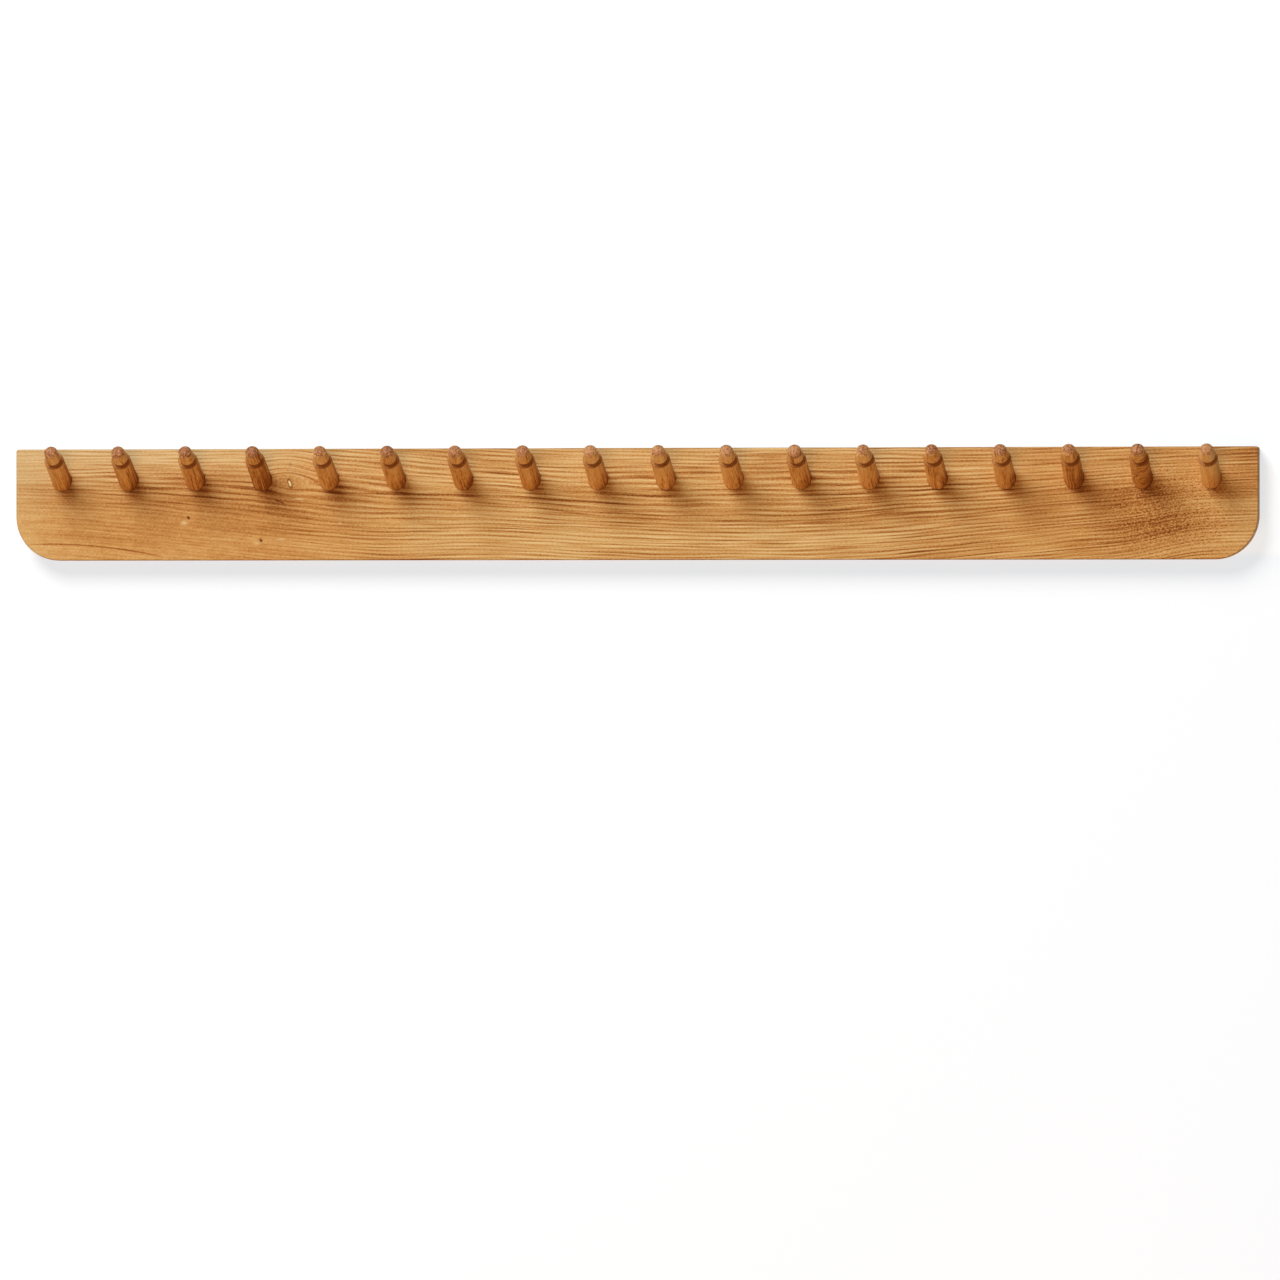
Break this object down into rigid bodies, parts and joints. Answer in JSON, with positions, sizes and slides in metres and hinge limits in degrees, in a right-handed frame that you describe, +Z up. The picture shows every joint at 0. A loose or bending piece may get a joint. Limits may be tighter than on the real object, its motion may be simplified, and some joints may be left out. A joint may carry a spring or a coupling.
{
  "type": "wall coat rack",
  "caption": "Wall coat rack: a straight hardwood board with round lower corners and a row of turned pegs tilted upwards, hung by keyhole plates let into its back.",
  "frame": {"origin": "centre of the board's back face, on the wall plane", "axes": "+X along the board to the viewer's right, +Y into the wall, +Z up; the pegs point to -Y and up"},
  "size_m": [1.22, 0.0796, 0.1108],
  "materials": {
    "board_oak": "satin oiled oak, grain along X",
    "peg_oak": "satin oiled oak, grain along each peg",
    "zinc_steel": "bright zinc plating"
  },
  "bodies": {
    "root": {"board": "board_oak", "peg_01": "peg_oak", "peg_02": "peg_oak", "peg_03": "peg_oak", "peg_04": "peg_oak", "peg_05": "peg_oak", "peg_06": "peg_oak", "peg_07": "peg_oak", "peg_08": "peg_oak", "peg_09": "peg_oak", "peg_10": "peg_oak", "peg_11": "peg_oak", "peg_12": "peg_oak", "peg_13": "peg_oak", "peg_14": "peg_oak", "peg_15": "peg_oak", "peg_16": "peg_oak", "peg_17": "peg_oak", "peg_18": "peg_oak", "hanger_plate_left": "zinc_steel", "plate_screw_left_upper": "zinc_steel", "plate_screw_left_lower": "zinc_steel", "hanger_plate_middle": "zinc_steel", "plate_screw_middle_upper": "zinc_steel", "plate_screw_middle_lower": "zinc_steel", "hanger_plate_right": "zinc_steel", "plate_screw_right_upper": "zinc_steel", "plate_screw_right_lower": "zinc_steel"}
  },
  "joints": []
}
